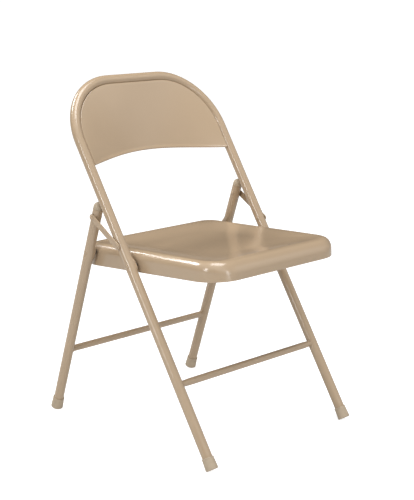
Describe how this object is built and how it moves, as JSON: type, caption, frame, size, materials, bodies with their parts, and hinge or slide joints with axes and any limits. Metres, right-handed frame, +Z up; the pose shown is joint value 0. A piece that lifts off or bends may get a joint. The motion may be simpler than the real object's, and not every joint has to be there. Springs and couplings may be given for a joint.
{
  "type": "folding chair",
  "caption": "Steel folding chair with a bent tube frame, curved back panel, dished sheet metal seat, tubular rear legs, side links, cross bars and rubber foot caps.",
  "frame": {"origin": "on the floor, under the middle of the open chair's bounding box", "axes": "+Z up, -Y the way a sitter faces, +X the sitter's left"},
  "size_m": [0.467, 0.5315, 0.7646],
  "materials": {
    "paint": "semi-gloss powder coat",
    "rubber": "satin moulded",
    "bush": "dull"
  },
  "bodies": {
    "front_frame": {"back_frame_tube": "paint", "back_panel": "paint", "front_cross_bar": "paint", "front_foot_cap_left": "rubber", "front_foot_cap_right": "rubber", "front_seat_rivet_left": "paint", "front_seat_rivet_right": "paint", "link_frame_rivet_left": "paint", "link_frame_rivet_right": "paint"},
    "seat": {"seat_pan": "paint", "front_seat_spacer_left": "bush", "front_seat_spacer_right": "bush", "rear_seat_spacer_left": "bush", "rear_seat_spacer_right": "bush"},
    "rear_legs": {"rear_leg_left": "paint", "rear_leg_right": "paint", "rear_cross_bar": "paint", "rear_foot_cap_left": "rubber", "rear_foot_cap_right": "rubber", "rear_leg_plug_left": "rubber", "rear_leg_plug_right": "rubber", "rear_seat_rivet_left": "paint", "rear_seat_rivet_right": "paint", "link_rivet_tail_left": "paint", "link_rivet_tail_right": "paint"},
    "left_link": {"link_left": "paint", "link_leg_rivet_left": "paint"},
    "right_link": {"link_right": "paint", "link_leg_rivet_right": "paint"}
  },
  "joints": [
    {"name": "seat_fold", "type": "hinge", "parent": "front_frame", "child": "seat", "pos_m": [0, -0.00203, 0.38928], "axis": [-1, 0, 0], "range_deg": [0, 115.3]},
    {"name": "rear_leg_fold", "type": "hinge", "parent": "seat", "child": "rear_legs", "pos_m": [0, 0.1321, 0.39509], "axis": [-1, 0, 0], "range_deg": [-64.8, 0]},
    {"name": "left_link_swing", "type": "hinge", "parent": "front_frame", "child": "left_link", "pos_m": [0.2295, 0.02437, 0.42925], "axis": [-1, 0, 0], "range_deg": [0, 139.7]},
    {"name": "right_link_swing", "type": "hinge", "parent": "front_frame", "child": "right_link", "pos_m": [-0.2295, 0.02437, 0.42925], "axis": [-1, 0, 0], "range_deg": [0, 139.7]}
  ],
  "couplings": [
    {"joint": "rear_leg_fold", "follows": "seat_fold", "ratio": -0.5615},
    {"joint": "left_link_swing", "follows": "seat_fold", "ratio": 1.2102},
    {"joint": "right_link_swing", "follows": "seat_fold", "ratio": 1.2102}
  ]
}
